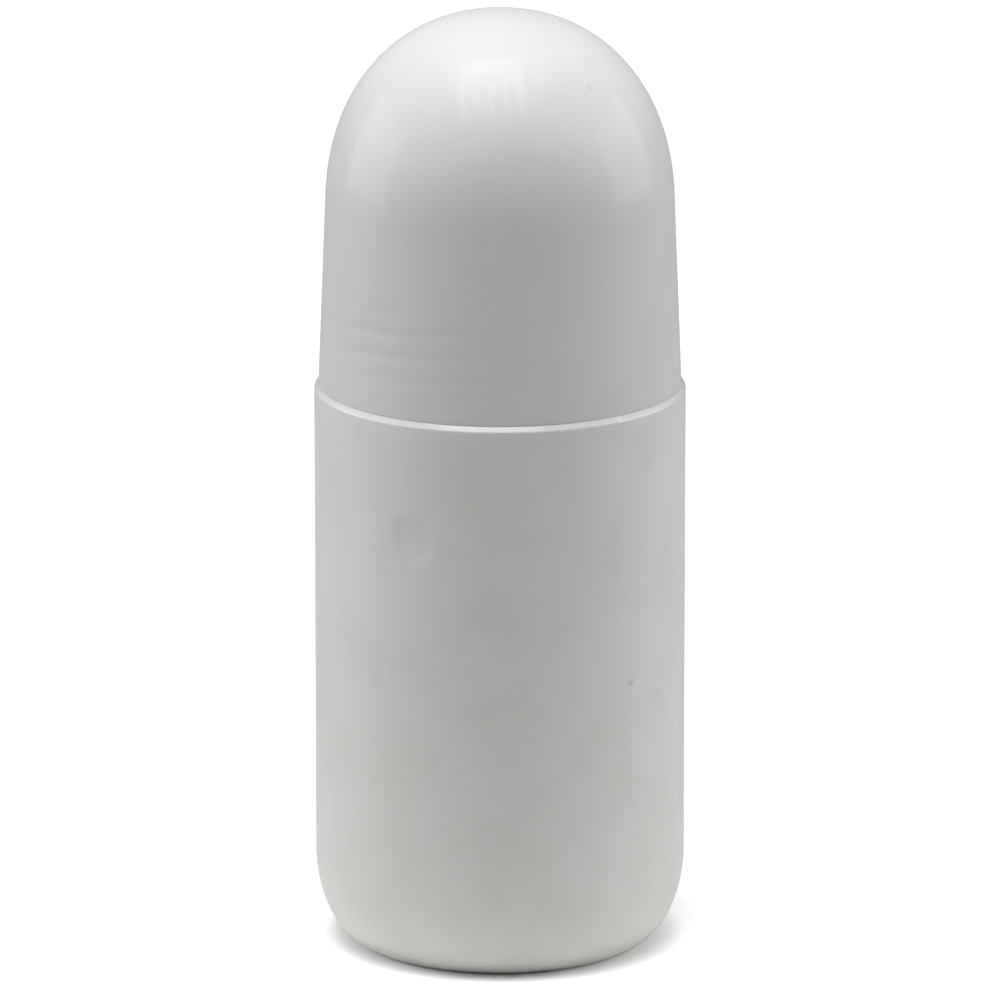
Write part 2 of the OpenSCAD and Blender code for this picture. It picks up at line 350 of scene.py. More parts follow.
# The section turned round the axis. The parting line, waves, dent, thread and crumb change its
# radius, and the pinched seam and the ring's eased edges its height.
def makeBottle():
    b = bottleLook
    points, rows = bottleProfile()
    angles = columnAngles(b["columns"], (
        (0, b["besideSeam"]), (180, b["besideSeam"]),
        (dent["angle"], dent["beside"]), (crumb["angle"], crumb["beside"])))
    radius, height = spread(points, angles)
    shown = slice(rows["corner"].start, rows["shoulder"].stop)

    # The mould's parting line: a low ridge up both sides, on a wall set in by its height
    offSeam = np.abs(radius * np.sin(angles))
    seam = bump(offSeam, b["seamWidth"]) * b["seamHeight"] - b["seamHeight"]
    fadeIn = window(height, 0, neckTop - b["neckHeight"], b["seamFade"])
    radius[shown] += (seam * fadeIn)[shown]

    # Long shallow waves that a blown wall has, and the dent
    wall = slice(rows["wallLow"].start, rows["wallHigh"].stop)
    calm = window(height, b["footRise"], neckTop - b["neckHeight"] - b["waveStop"], b["waveFade"])
    first, second, third = [np.sin(turns * angles + climb * height + start)
                            for turns, climb, start in b["waves"]]
    waves = (first * second + b["lastWave"] * third) / (1 + b["lastWave"])
    radius[wall] -= (b["waveDepth"] * (1 + waves) / 2 * calm)[wall]
    radius[wall] -= dentDepth(height, angles)[wall]

    # The neck's thread
    neck = slice(rows["neckThread"].start, rows["neckThread"].stop)
    radius[neck] += threadRidge(height, angles, thread["neckFrom"], thread["neckTo"], 0)[neck]

    # The seam that the mould pinches shut across the hollow of the base
    hollow = rows["hollow"]
    x, y = radius * np.cos(angles), radius * np.sin(angles)
    half = b["pinchLength"] / 2
    pinch = bump(y, b["pinchReach"]) * window(x, -half, half, b["pinchFade"])
    height[hollow] -= (b["pinchHeight"] * pinch)[hollow]

    # The moulded edges of the standing ring ease away from the ground
    standing = slice(rows["standing"].start, rows["standing"].stop)
    ring = points[standing, 0]
    half = (ring[-1] - ring[0]) / 2
    ease = smooth(np.abs(ring - ring[0] - half), half - b["footEase"], half)
    height[standing] += b["footLift"] * ease[:, None]

    # A crumb of flash that swells the shoulder's edge
    away = np.hypot(alongWall(angles, crumb["angle"]), height - crumb["height"])
    swell = bump(away, crumb["width"]) * crumb["rise"]
    edge = slice(rows["wallHigh"].start, rows["shoulder"].stop)
    radius[edge] += swell[edge]

    return makePiece("bottleShell", [gridFaces(turn(radius, height, angles))])


# Cap

capLook = {
    "columns": 224,
    "rimWall": 1.6, "domeWall": 1.3, "crown": 1.4,
    "draft": 2.25, "domeRise": 1.5, "fullness": 2.2,
    "rimRound": 0.015, "rimBevel": 0.5, "rimCut": 0.1, "rimInside": 0.15, "boreStep": 0.5,
    "holderPlay": 0.1, "holderWall": 1, "holderBead": 0.3, "holderBeadHeight": 0.5, "holderSlope": 0.25,
    "holderRound": 0.12, "holderGap": 0.3,      # the dome's points keep this gap to the holder's
    "ribThickness": 1, "ribDrop": 1.1,
    "sinkDepth": 0.045, "sinkFrom": 61.5, "sinkTo": 70.8, "sinkFade": 2.5, "sinkSharpness": 2.5,
    "sinkAngle": 232, "sinkSpread": 42,         # where the thread's sink marks show most
    "sinkLeast": 0.12,          # and how much is left of them elsewhere
    "rowsFrom": 61, "rowsTo": 71.5,     # between these the side has close rows for the sink marks
    "footStep": 0.25, "rowStep": 0.24, "sideStep": 0.6,
}


def sideRadius(height, inset):  # the cap's sloping side
    return rimRadius - inset - (height - rimHeight) * math.tan(math.radians(capLook["draft"]))


def domeCurve(inset, peak, steps):      # each point lies on a quarter of a fuller ellipse
    angle = np.linspace(0, np.pi / 2, steps + 1)
    power = 2 / capLook["fullness"]
    start = ballHeight + capLook["domeRise"]
    height = start + (peak - start) * np.sin(angle) ** power
    return np.column_stack([sideRadius(height, inset) * np.clip(np.cos(angle), 0, 1) ** power, height])


# The cap's section, from the axis along the crown's underside, round the liner's holder, down the
# dome's inside and the bore, round the rim, and up the outside to the axis
def capProfile():
    c = capLook
    crownInside = capTop - c["crown"]
    bore = rimRadius - c["rimWall"]
    inner = domeCurve(c["domeWall"], crownInside, 72)
    outer = domeCurve(0, capTop, 120)
    holderIn = linerHigh[0] + c["holderPlay"]
    holderOut = holderIn + c["holderWall"]
    bead = linerHigh[0] - c["holderBead"]
    beadTop = linerLow[2] - c["holderPlay"]
    foot = beadTop - c["holderBeadHeight"]
    inner = inner[::-1]                         # from the axis outwards
    atIn = np.interp(holderIn, inner[:, 0], inner[:, 1])
    atOut = np.interp(holderOut, inner[:, 0], inner[:, 1])
    within = inner[inner[:, 0] < holderIn - c["holderGap"]]
    beyond = inner[inner[:, 0] > holderOut + c["holderGap"]]
    tight = c["holderRound"]
    stepHeight = neckTop + c["boreStep"]
    stepStart = (sideRadius(stepHeight, c["domeWall"]), stepHeight)
    threadLow, threadHigh = thread["capFrom"] - thread["margin"], thread["capTo"] + thread["margin"]
    ease = c["rimInside"]
    bevelEnd = bore + c["rimBevel"] - c["rimCut"]
    low = (sideRadius(c["rowsFrom"], 0), c["rowsFrom"])
    high = (sideRadius(c["rowsTo"], 0), c["rowsTo"])
    return profile({
        "crown": within,
        "crownEdge": line(within[-1], (holderIn, atIn), 2),
        "holderInside": line((holderIn, atIn), (holderIn, beadTop + c["holderSlope"]), 6),
        "beadTop": line((holderIn, beadTop + c["holderSlope"]), (bead + tight, beadTop), 3),
        "bead": arc((bead + tight, beadTop - tight), tight, 90, 180, 3),
        "beadFace": line((bead, beadTop - tight), (bead, foot + tight), 2),
        "beadFoot": arc((bead + tight, foot + tight), tight, 180, 270, 3),
        "holderFoot": line((bead + tight, foot), (holderOut - 2 * tight, foot), 4),
        "holderCorner": arc((holderOut - 2 * tight, foot + 2 * tight), 2 * tight, 270, 360, 4),
        "holderOutside": line((holderOut, foot + 2 * tight), (holderOut, atOut), 6),
        "domeInside": np.vstack([[holderOut, atOut], beyond]),
        "sideInside": line(beyond[-1], stepStart, 6),
        "boreStep": line(stepStart, (bore, neckTop), 3),
        "boreHead": line((bore, neckTop), (bore, threadHigh), 6),
        "capThread": evenLine((bore, threadHigh), (bore, threadLow), thread["rowStep"]),
        "boreFoot": line((bore, threadLow), (bore, rimHeight + c["rimBevel"]), 2),
        "rimBevel": line((bore, rimHeight + c["rimBevel"]), (bevelEnd, rimHeight + c["rimCut"]), 3),
        "rimInside": arc((bevelEnd + ease, rimHeight + ease), ease, 225, 270, 3),
        "rimFoot": line((bevelEnd + ease, rimHeight), (rimRadius - c["rimRound"], rimHeight), 4),
        "rimOutside": arc((rimRadius - c["rimRound"], rimHeight + c["rimRound"]), c["rimRound"],
                          270, 360, 7),
        "sideFoot": evenLine((rimRadius, rimHeight + c["rimRound"]), low, c["footStep"]),
        "sideThread": evenLine(low, high, c["rowStep"]),
        "side": evenLine(high, outer[0], c["sideStep"]),
        "dome": outer,
    })


# The section turned round the axis, with ridges that stand into the bore, sink marks that draw the
# side in, and two crossed bars for ribs
def makeCap():
    c = capLook
    points, rows = capProfile()
    angles = columnAngles(c["columns"])
    radius, height = spread(points, angles)

    bore = rows["capThread"]
    ridge = threadRidge(height, angles, thread["capFrom"], thread["capTo"], thread["capPhase"])
    radius[bore] -= ridge[bore]

    # Sink marks: where the ridges are thick inside, the outer face draws in a little as it cools
    side = slice(rows["sideFoot"].start, rows["side"].stop)
    ridges = ridgeCount(height, angles, thread["capPhase"])
    wave = ((1 + np.cos(2 * np.pi * ridges)) / 2) ** c["sinkSharpness"]
    away = (np.degrees(angles) - c["sinkAngle"] + 180) % 360 - 180
    shown = c["sinkLeast"] + (1 - c["sinkLeast"]) * bump(away, c["sinkSpread"])
    fade = window(height, c["sinkFrom"], c["sinkTo"], c["sinkFade"])
    radius[side] -= (c["sinkDepth"] * wave * shown * fade)[side]

    ribTop = capTop - c["crown"] / 2
    ribEnd = linerHigh[0] + c["holderPlay"] + c["holderWall"] / 2
    ribFoot = linerHigh[2] + c["holderPlay"]
    slope = ribTop - c["ribDrop"]
    outline = [(-ribEnd, ribFoot), (ribEnd, ribFoot), (ribEnd, slope), (0, ribTop), (-ribEnd, slope)]
    ribs = [barGrid(outline, c["ribThickness"], angle) for angle in (0, 90)]
    return makePiece("capShell", [gridFaces(turn(radius, height, angles))] + ribs)


# Ball housing

housingLook = {
    "columns": 240,
    "ballPlay": 0.1, "cupWall": 0.9,
    "plugRadius": 14.77, "plugWall": 0.9, "plugBevel": 0.4,
    "flange": 1.2, "flangeRoundLow": 0.1, "flangeRoundHigh": 0.2,
    "collarRadius": 15.6, "collarFillet": 0.18, "lipRound": 1.1, "lipEdge": 0.12, "lipGap": 0.7,
    "throatRadius": 8,
    "beadRadius": 0.45, "beadReach": 14.93, "beadPitch": 2.1,
    "grooves": 8, "grooveAngle": 14, "grooveFlank": 1.5, "grooveDepth": 0.4, "grooveEase": 0.4,
    "sealBand": 2.4, "grooveStop": 1.2,
    "webs": 8, "webThickness": 0.8, "webLift": 0.9, "webSink": 0.3, "webEnd": 0.1,
}


def sphereArc(radius, start, end, steps):       # from one radius to another along the ball's underside
    low, high = [-math.degrees(math.acos(r / radius)) for r in (start, end)]
    return arc((0, ballHeight), radius, low, high, steps)


def beadArc(number):            # one sealing bead on the plug, a short arc that stands proud
    h = housingLook
    centre = (h["beadReach"] - h["beadRadius"], neckTop - number * h["beadPitch"])
    angle = math.degrees(math.acos((h["plugRadius"] - centre[0]) / h["beadRadius"]))
    return arc(centre, h["beadRadius"], -angle, angle, 8)


# The housing's section, a closed loop: throat, cup's outside, plug, flange, collar, lip and seat
def housingProfile():
    h = housingLook
    seat = ballRadius + h["ballPlay"]
    cup = seat + h["cupWall"]
    foot = housingLow[2]
    lip = housingHigh[2]
    plugIn = h["plugRadius"] - h["plugWall"]
    throatOut = h["throatRadius"] + h["cupWall"]
    cupOut = sphereArc(cup, throatOut, plugIn, 26)
    lipIn = math.sqrt(seat ** 2 - (lip - ballHeight) ** 2)
    seatTop = math.degrees(math.asin((lip - ballHeight) / seat))
    seatEnd = -math.degrees(math.acos(h["throatRadius"] / seat))
    beads = [beadArc(number) for number in (2, 1)]
    flangeTop = neckTop + h["flange"]
    low, high = h["flangeRoundLow"], h["flangeRoundHigh"]
    collar, fillet = h["collarRadius"], h["collarFillet"]
    edge = h["lipEdge"]
    return profile({
        "throatFoot": line((h["throatRadius"], foot), (throatOut, foot), 3),
        "throatOutside": line((throatOut, foot), cupOut[0], 3),
        "cupOutside": cupOut,
        "plugInside": line(cupOut[-1], (plugIn, foot), 12),
        "plugFoot": line((plugIn, foot), (h["plugRadius"] - h["plugBevel"], foot), 2),
        "plugBevel": line((h["plugRadius"] - h["plugBevel"], foot),
                          (h["plugRadius"], foot + h["plugBevel"]), 2),
        "plugLow": line((h["plugRadius"], foot + h["plugBevel"]), beads[0][0], 6),
        "lowBead": beads[0],
        "plugMiddle": line(beads[0][-1], beads[1][0], 3),
        "highBead": beads[1],
        "plugHigh": line(beads[1][-1], (h["plugRadius"], neckTop), 4),
        "flangeUnder": line((h["plugRadius"], neckTop), (neckRadius - low, neckTop), 3),
        "flangeEdgeLow": arc((neckRadius - low, neckTop + low), low, 270, 360, 3),
        "flangeEdge": line((neckRadius, neckTop + low), (neckRadius, flangeTop - high), 3),
        "flangeEdgeHigh": arc((neckRadius - high, flangeTop - high), high, 0, 90, 5),
        "collarRoot": arc((collar + fillet, flangeTop + fillet), fillet, 270, 180, 4),
        "collar": line((collar, flangeTop + fillet), (collar, lip - h["lipRound"]), 8),
        "lipOutside": arc((collar - h["lipRound"], lip - h["lipRound"]), h["lipRound"], 0, 90, 12),
        "lipTop": line((collar - h["lipRound"], lip), (lipIn + edge, lip), 3),
        "lipInside": arc((lipIn + edge, lip - edge), edge, 90, 165, 3),
        "seat": arc((0, ballHeight), seat, seatTop - h["lipGap"], seatEnd, 70),
        "throat": line((h["throatRadius"], ballHeight + seat * math.sin(math.radians(seatEnd))),
                       (h["throatRadius"], foot), 3)[:-1],
    })


# The section turned round the axis, with grooves that carry the seat further from the ball's
# middle, and flat webs below the cup
def makeHousing():
    h = housingLook
    points, rows = housingProfile()
    angles = columnAngles(h["columns"])
    radius, height = spread(points, angles)

    # Feed grooves: the seat lies deeper between the sealing band and the ball's middle
    seat = rows["seat"]
    step = 2 * np.pi / h["grooves"]
    across = np.degrees(np.abs((angles % step) - step / 2))
    sides = 1 - smooth(across, h["grooveAngle"] / 2 - h["grooveFlank"], h["grooveAngle"] / 2)
    bottom = points[seat][-1, 1] + h["sealBand"]
    ends = window(height, bottom, ballHeight - h["grooveStop"], h["grooveEase"])
    deeper = 1 + h["grooveDepth"] / (ballRadius + h["ballPlay"]) * sides * ends
    radius[seat] *= deeper[seat]
    height[seat] = ballHeight + (height[seat] - ballHeight) * deeper[seat]

    # Webs between the cup and the plug's wall, each following the cup's round underside
    low = housingLow[2] + h["webLift"]
    cup = ballRadius + h["ballPlay"] + h["cupWall"] - h["webSink"]
    wall = h["plugRadius"] - h["plugWall"] / 2
    curve = sphereArc(cup, h["throatRadius"] + h["cupWall"] / 2, wall - h["webEnd"], 14)
    outline = np.vstack([[[curve[0, 0], low], [wall, low]], curve[::-1]])
    webs = [barGrid(outline, h["webThickness"], number * 360 / h["webs"]) for number in range(h["webs"])]
    return makePiece("housingShell", [gridFaces(turn(radius, height, angles), ring=True)] + webs)


# Ball

ballLook = {"columns": 192, "rows": 96, "shell": 1.8}


def makeBall():                 # a hollow ball: an outer sphere, and an inner one that faces inwards
    b = ballLook
    outer = arc((0, ballHeight), ballRadius, -90, 90, b["rows"])
    inner = arc((0, ballHeight), ballRadius - b["shell"], 90, -90, b["rows"] // 2)
    angles = columnAngles(b["columns"])
    grids = [gridFaces(turn(*spread(points, angles), angles)) for points in (outer, inner)]
    return makePiece("rollingBall", grids)


# Cap liner

linerLook = {"columns": 160, "rowStep": 0.25, "edge": 0.15, "printRadius": 2.6, "printDepth": 0.09}


def makeLiner():                # a foam disc with soft edges and the ball's round print under it
    l = linerLook
    radius, low, high = linerHigh[0], linerLow[2], linerHigh[2]
    flat = radius - l["edge"]
    points, rows = profile({
        "under": evenLine((0, low), (flat, low), l["rowStep"]),
        "lowEdge": arc((flat, low + l["edge"]), l["edge"], 270, 360, 5),
        "side": line((radius, low + l["edge"]), (radius, high - l["edge"]), 6),
        "highEdge": arc((flat, high - l["edge"]), l["edge"], 0, 90, 5),
        "top": evenLine((flat, high), (0, high), 2 * l["rowStep"]),
    })
    under = points[rows["under"]]
    under[:, 1] += l["printDepth"] * np.clip(1 - (under[:, 0] / l["printRadius"]) ** 2, 0, 1)
    angles = columnAngles(l["columns"])
    return makePiece("linerDisc", [gridFaces(turn(*spread(points, angles), angles))])


bottleShell = makeBottle()
housingShell = makeHousing()
rollingBall = makeBall()
capShell = makeCap()
linerDisc = makeLiner()
print("pieces made")


# Shader maths: a wire is a socket's value, and sums of wires add their own nodes

class Wire:
    def __init__(self, tree, socket=None):
        self.tree = tree
        self.socket = socket

    def node(self, kind, settings=None, inputs=None, output=0):
        made = self.tree.nodes.new("ShaderNode" + kind)
        for name, value in (settings or {}).items():
            setattr(made, name, value)
        for name, value in (inputs or {}).items():
            if isinstance(value, Wire):
                self.tree.links.new(value.socket, made.inputs[name])
            else:
                made.inputs[name].default_value = value
        return Wire(self.tree, made.outputs[output])

    def maths(self, operation, first, second):
        return self.node("Math", {"operation": operation}, {0: first, 1: second})

    def __add__(self, other):
        return self.maths("ADD", self, other)

    def __radd__(self, other):
        return self.maths("ADD", other, self)

    def __sub__(self, other):
        return self.maths("SUBTRACT", self, other)

    def __rsub__(self, other):
        return self.maths("SUBTRACT", other, self)

    def __mul__(self, other):
        return self.maths("MULTIPLY", self, other)

    def __rmul__(self, other):
        return self.maths("MULTIPLY", other, self)

    def ease(self, start, end):         # 0 before start, 1 past end
        return self.node("MapRange", {"interpolation_type": "SMOOTHSTEP"},
                         {"Value": self, "From Min": start, "From Max": end})

    def mix(self, first, second):       # first where this wire is 0, second where it is 1
        return self.node("Mix", {"data_type": "RGBA"}, {0: self, 6: first, 7: second}, output=2)

    def noise(self, size, detail=2, rough=0.5):         # a cloud whose lumps are about size across
        return self.node("TexNoise", None,
                         {"Vector": self, "Scale": 1 / size, "Detail": detail, "Roughness": rough})

    def stretched(self, scale):         # the place, with its axes scaled
        return self.node("Mapping", None, {"Vector": self, "Scale": scale})

    def height(self):
        return self.node("SeparateXYZ", None, {"Vector": self}, output="Z")


def near(place, point, radius, core=0.35):      # 1 over a spot's core, easing to 0 at its radius
    away = place.node("VectorMath", {"operation": "DISTANCE"}, {0: place, 1: point}, output="Value")
    return 1 - away.ease(core * radius, radius)


# A plastic's shader. Constants go on its sockets, and only colour, roughness and bump vary.
def plastic(name, finish, constants):
    material = bpy.data.materials.new(name)
    material.use_nodes = True
    tree = material.node_tree
    shader = tree.nodes["Principled BSDF"]
    for socket, value in constants.items():
        shader.inputs[socket].default_value = value
    start = Wire(tree)
    metres = start.node("TexCoord", output="Object")
    place = metres.node("VectorMath", {"operation": "SCALE"}, {0: metres, "Scale": 1 / metre})
    colour, roughness, relief = finish(place)
    tree.links.new(colour.socket, shader.inputs["Base Color"])
    tree.links.new(roughness.socket, shader.inputs["Roughness"])
    normal = relief.node("Bump", None, {"Height": relief, "Strength": 1.0, "Distance": metre})
    tree.links.new(normal.socket, shader.inputs["Normal"])
    return material


# In every finish, "size" is how large a pattern's lumps are in millimetres, and "stretch" scales its
# axes. Between the values in "shows" a pattern fades in. "rough" is what it adds to the roughness,
# and "depth" how high it stands in millimetres.
noiseMean = 0.5

bottleFinish = {
    "pale": (0.803, 0.799, 0.788, 1), "dull": (0.77, 0.764, 0.75, 1), "scuffed": (0.66, 0.655, 0.64, 1),
    "edge": (0.875, 0.875, 0.865, 1),   # a painted highlight along the shoulder's edge, where it is also glossier
    "edgeFrom": (58.15, 58.35), "edgeTo": (58.9, 59.0), "paintedHighlightShare": 0.6,
    "footReach": (0.02, 1.3),           # heights over which the scuffs at the foot end
    "size": {"cloud": 9, "drawn": 1.3, "pores": 0.35, "peel": 1.4, "scuffs": 0.8},
    "stretch": {"drawn": (1, 1, 0.06), "scuffs": (1, 1, 2.5)},
    "shows": {"dull": (0.35, 0.7), "scuffs": (0.56, 0.7)},
    "rough": {"base": 0.44, "cloud": 0.06, "drawn": 0.09, "worn": 0.12, "edge": -0.2},
    "depth": {"peel": 0.006, "pores": 0.0014, "drawn": 0.003},
    "wear": 0.75,
    "speck": (13.3, -13.5, 30.6), "speckRadius": 0.55, "speckColour": (0.5, 0.5, 0.48, 1), "speckShare": 0.5,
    # a painted highlight: a paler spot on the crumb of flash
    "crumb": (12.0, -14.6, 58.5), "crumbRadius": 0.5, "crumbHighlightColour": (0.95, 0.95, 0.94, 1), "crumbHighlightShare": 0.8,
}


def bottlePlastic(place):
    f = bottleFinish
    size, stretch, shows, rough, depth = [f[key] for key in ("size", "stretch", "shows", "rough", "depth")]
    z = place.height()
    cloud = place.noise(size["cloud"], detail=3)
    drawn = place.stretched(stretch["drawn"]).noise(size["drawn"])      # streaks down the wall, from blowing
    pores = place.noise(size["pores"])
    peel = place.noise(size["peel"])
    scuffs = place.stretched(stretch["scuffs"]).noise(size["scuffs"], detail=4, rough=0.65)
    scuffs = scuffs.ease(*shows["scuffs"])
    worn = f["wear"] * scuffs * (1 - z.ease(*f["footReach"]))
    # The band along the shoulder's edge: a real glossier finish, and a paler colour that is a painted
    # highlight
    shoulderGlossAndPaintedHighlight = z.ease(*f["edgeFrom"]) * (1 - z.ease(*f["edgeTo"]))
    speck = near(place, f["speck"], f["speckRadius"])
    crumbPaintedHighlight = near(place, f["crumb"], f["crumbRadius"])
    colour = cloud.ease(*shows["dull"]).mix(f["pale"], f["dull"])
    colour = worn.mix(colour, f["scuffed"])
    # painted highlight: the shoulder's edge is painted paler
    colour = (f["paintedHighlightShare"] * shoulderGlossAndPaintedHighlight).mix(colour, f["edge"])
    colour = (f["speckShare"] * speck).mix(colour, f["speckColour"])
    # painted highlight on the crumb of flash
    colour = (f["crumbHighlightShare"] * crumbPaintedHighlight).mix(colour, f["crumbHighlightColour"])
    roughness = (rough["base"] + rough["cloud"] * (cloud - noiseMean) + rough["drawn"] * (drawn - noiseMean)
                 + rough["worn"] * worn + rough["edge"] * shoulderGlossAndPaintedHighlight)
    relief = depth["peel"] * peel + depth["pores"] * pores + depth["drawn"] * drawn
    return colour, roughness, relief


capFinish = {
    "pale": (0.741, 0.738, 0.729, 1), "dull": (0.723, 0.718, 0.705, 1), "scuffed": (0.64, 0.635, 0.62, 1),
    "size": {"cloud": 11, "flow": 2.2, "peel": 1.8, "fine": 0.3, "scratches": 0.5},
    "stretch": {"flow": (1, 1, 0.1), "scratches": (0.5, 0.5, 4)},
    "shows": {"dull": (0.35, 0.7), "scratches": (0.62, 0.68), "handled": (0.45, 0.65)},
    "rough": {"base": 0.62, "flow": 0.05, "handled": 0.05, "scratches": 0.08},
    "depth": {"peel": 0.005, "fine": 0.0008, "flow": 0.002},
    "handledFrom": (60, 64), "handledTo": (74, 82),     # heights where fingers have dulled it
    "rimReach": (59.0, 59.5), "rimWear": 0.5,
    "speck": (8.95, -9.35, 91.7), "speckRadius": 0.5, "speckColour": (0.6, 0.6, 0.58, 1), "speckShare": 0.6,
}


def capPlastic(place):
    f = capFinish
    size, stretch, shows, rough, depth = [f[key] for key in ("size", "stretch", "shows", "rough", "depth")]
    z = place.height()
    cloud = place.noise(size["cloud"], detail=3)
    flow = place.stretched(stretch["flow"]).noise(size["flow"], detail=3)       # down the wall from the crown
    peel = place.noise(size["peel"])
    fine = place.noise(size["fine"])
    scratches = place.stretched(stretch["scratches"]).noise(size["scratches"], detail=3, rough=0.6)
    scratches = scratches.ease(*shows["scratches"])
    handled = z.ease(*f["handledFrom"]) * (1 - z.ease(*f["handledTo"])) * cloud.ease(*shows["handled"])
    rim = 1 - z.ease(*f["rimReach"])
    speck = near(place, f["speck"], f["speckRadius"])
    colour = cloud.ease(*shows["dull"]).mix(f["pale"], f["dull"])
    colour = (f["rimWear"] * rim * scratches).mix(colour, f["scuffed"])
    colour = (f["speckShare"] * speck).mix(colour, f["speckColour"])
    roughness = (rough["base"] + rough["flow"] * (flow - noiseMean) + rough["handled"] * handled
                 + rough["scratches"] * scratches)
    relief = depth["peel"] * peel + depth["fine"] * fine + depth["flow"] * flow
    return colour, roughness, relief


ballFinish = {
    "pale": (0.84, 0.84, 0.825, 1), "dull": (0.82, 0.82, 0.8, 1),
    "size": {"cloud": 7, "rings": 0.5, "crossed": 0.6, "swell": 3.5},
    "stretch": {"rings": (0.25, 1, 6), "crossed": (5, 0.3, 0.4)},
    "shows": {"dull": (0.35, 0.7), "rings": (0.6, 0.72), "crossed": (0.62, 0.72)},
    "rough": {"base": 0.13, "cloud": 0.03, "rings": 0.07, "crossed": 0.05},
    "depth": {"swell": 0.001, "rings": -0.0004},
}


def ballPlastic(place):         # lapping has left fine rings and crossed marks
    f = ballFinish
    size, stretch, shows, rough, depth = [f[key] for key in ("size", "stretch", "shows", "rough", "depth")]
    cloud = place.noise(size["cloud"])
    rings, crossed = [
        place.stretched(stretch[mark]).noise(size[mark], detail=3, rough=0.7).ease(*shows[mark])
        for mark in ("rings", "crossed")]
    colour = cloud.ease(*shows["dull"]).mix(f["pale"], f["dull"])
    roughness = (rough["base"] + rough["cloud"] * (cloud - noiseMean) + rough["rings"] * rings
                 + rough["crossed"] * crossed)
    relief = depth["swell"] * place.noise(size["swell"], detail=1) + depth["rings"] * rings
    return colour, roughness, relief


housingFinish = {
    "pale": (0.78, 0.785, 0.765, 1), "milky": (0.72, 0.728, 0.71, 1),
    "size": {"cloud": 5, "flow": 1.1, "peel": 0.9},
    "stretch": {"flow": (1, 1, 0.25)},
    "shows": {"milky": (0.3, 0.75)},
    "rough": {"base": 0.38, "flow": 0.08},
    "depth": {"peel": 0.004, "flow": 0.002},
}


def housingPlastic(place):
    f = housingFinish
    size, stretch, shows, rough, depth = [f[key] for key in ("size", "stretch", "shows", "rough", "depth")]
    flow = place.stretched(stretch["flow"]).noise(size["flow"], detail=3)
    colour = place.noise(size["cloud"], detail=3).ease(*shows["milky"]).mix(f["pale"], f["milky"])
    roughness = rough["base"] + rough["flow"] * (flow - noiseMean)
    relief = depth["peel"] * place.noise(size["peel"]) + depth["flow"] * flow
    return colour, roughness, relief


linerFinish = {
    # deep is both a painted shade in the cells' hollows and a random darker tone
    "pale": (0.80, 0.80, 0.775, 1), "deep": (0.62, 0.62, 0.6, 1),
    "size": {"cell": 0.24, "cloud": 3},
    "shows": {"cell": (0.15, 0.75)},
    "rough": {"base": 0.82, "cloud": 0.1},
    "depth": {"cell": 0.035, "cloud": 0.02},
    "cellBlend": 0.35, "cellPaintedShade": 0.4, "cloudShade": 0.2,
}


def linerFoam(place):
    f = linerFinish
    size, shows, rough, depth = [f[key] for key in ("size", "shows", "rough", "depth")]
    cells = place.node("TexVoronoi", {"feature": "SMOOTH_F1"},
                       {"Vector": place, "Scale": 1 / size["cell"], "Smoothness": f["cellBlend"]},
                       output="Distance")
    cloud = place.noise(size["cloud"], detail=3)
    swollen = cells.ease(*shows["cell"])
    # painted shade: the cells' hollows, where the relief is low, are painted darker, plus a random cloudy
    # tone
    colour = (f["cellPaintedShade"] * (1 - swollen) + f["cloudShade"] * cloud).mix(f["pale"], f["deep"])
    roughness = rough["base"] + rough["cloud"] * (cloud - noiseMean)
    relief = depth["cell"] * swollen + depth["cloud"] * cloud
    return colour, roughness, relief


# Each piece with its body, the CAD node that it replaces, its slot, its finish and what stays constant
finishes = (
    (bottleShell, "bottle", "bottle", "bottle_plastic", bottlePlastic,
     {"IOR": 1.54, "Subsurface Weight": 0.35, "Subsurface Radius": (1, 0.97, 0.93),
      "Subsurface Scale": 1.5 * metre}),
    (housingShell, "bottle", "ball_housing", "housing_plastic", housingPlastic,
     {"IOR": 1.51, "Subsurface Weight": 0.25, "Subsurface Radius": (1, 0.95, 0.9),
      "Subsurface Scale": 0.8 * metre}),
    (rollingBall, "ball", "ball", "ball_plastic", ballPlastic,
     {"IOR": 1.5, "Coat Weight": 0.15, "Coat Roughness": 0.06}),
    (capShell, "cap", "cap", "cap_plastic", capPlastic,
     {"IOR": 1.49, "Coat Weight": 0.26, "Coat Roughness": 0.13}),
    (linerDisc, "cap_liner", "cap_liner", "liner_foam", linerFoam,
     {"IOR": 1.45}),
)
for piece, body, node, slot, finish, constants in finishes:
    piece.data.materials.append(plastic(slot, finish, constants))
    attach(piece, body)
    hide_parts(node)
print("finishes made")


# Studio

studio = {
    "cameraDistance": 1.2, "cameraElevation": 15.2, "aimHeight": 0.04619,   # metres, degrees, metres
    "lens": 421.8, "sensor": 36, "clip": (0.1, 20),
    "floorSize": 6.0,
    "bounceNear": 0.98, "bounceFar": 0.67,      # the floor's level as it lights the bottle
    "bounceReach": (0.018, 0.065),
    "bounceTint": (1, 0.996, 0.976, 1),         # the light from below is a little warm
    "mirrored": 0.12,           # how much of the white surroundings a gloss shows
    "floorNear": 1.55, "floorFar": 5.2,         # its level as the camera sees it, so that it runs to white
    "floorReach": (0.05, 1.2),
    "worldLevel": 0.01,
}
panels = {                      # azimuth, elevation, distance, width, height, power
    "top": (0, 88, 1.0, 1.0, 0.7, 4.25),
    "left": (-99, 9, 0.9, 0.7, 0.7, 4.2),
    "right": (99, 9, 0.9, 0.7, 0.7, 4.45),
}
bars = {                        # lamp tubes above, fanned out by some degrees from one to the next
    "count": 5, "pitch": 0.042, "width": 0.03, "length": 0.235, "fan": 6,
    "place": (-0.028, -0.078, 0.35), "power": 0.65,
}


